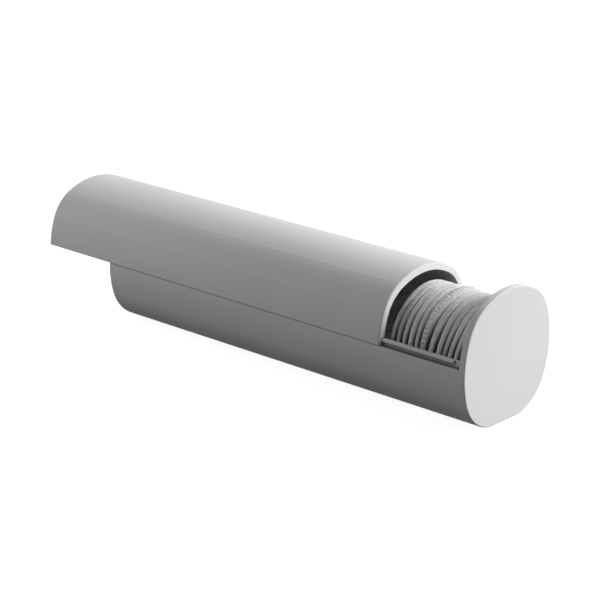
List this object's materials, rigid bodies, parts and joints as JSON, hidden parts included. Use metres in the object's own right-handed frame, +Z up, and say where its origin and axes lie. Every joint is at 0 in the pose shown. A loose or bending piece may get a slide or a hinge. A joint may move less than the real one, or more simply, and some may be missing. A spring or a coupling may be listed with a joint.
{
  "type": "cotton pad dispenser",
  "caption": "Tube-shaped cotton pad dispenser lying on its flat base: a trough with a tall end plate, a cover that slides along it, and a stack of round pads",
  "frame": {"origin": "centre of the flat base of the trough, on the surface it stands on", "axes": "+X along the tube toward the tall end plate, +Y to the back of the picture, +Z up"},
  "size_m": [0.2956, 0.0724, 0.07],
  "materials": {
    "shell": "fine satin, pale grey white",
    "cotton": "pressed cotton, soft ribbed rim"
  },
  "bodies": {
    "base": {"trough": "shell", "cotton_pad_01": "cotton", "cotton_pad_02": "cotton", "cotton_pad_03": "cotton", "cotton_pad_04": "cotton", "cotton_pad_05": "cotton", "cotton_pad_06": "cotton", "cotton_pad_07": "cotton", "cotton_pad_08": "cotton", "cotton_pad_09": "cotton", "cotton_pad_10": "cotton", "cotton_pad_11": "cotton", "cotton_pad_12": "cotton"},
    "cover": {"cover": "shell"}
  },
  "joints": [
    {"name": "cover_slide", "type": "slide", "parent": "base", "child": "cover", "axis": [1, 0, 0], "range_m": [-0.056, 0.049]}
  ]
}
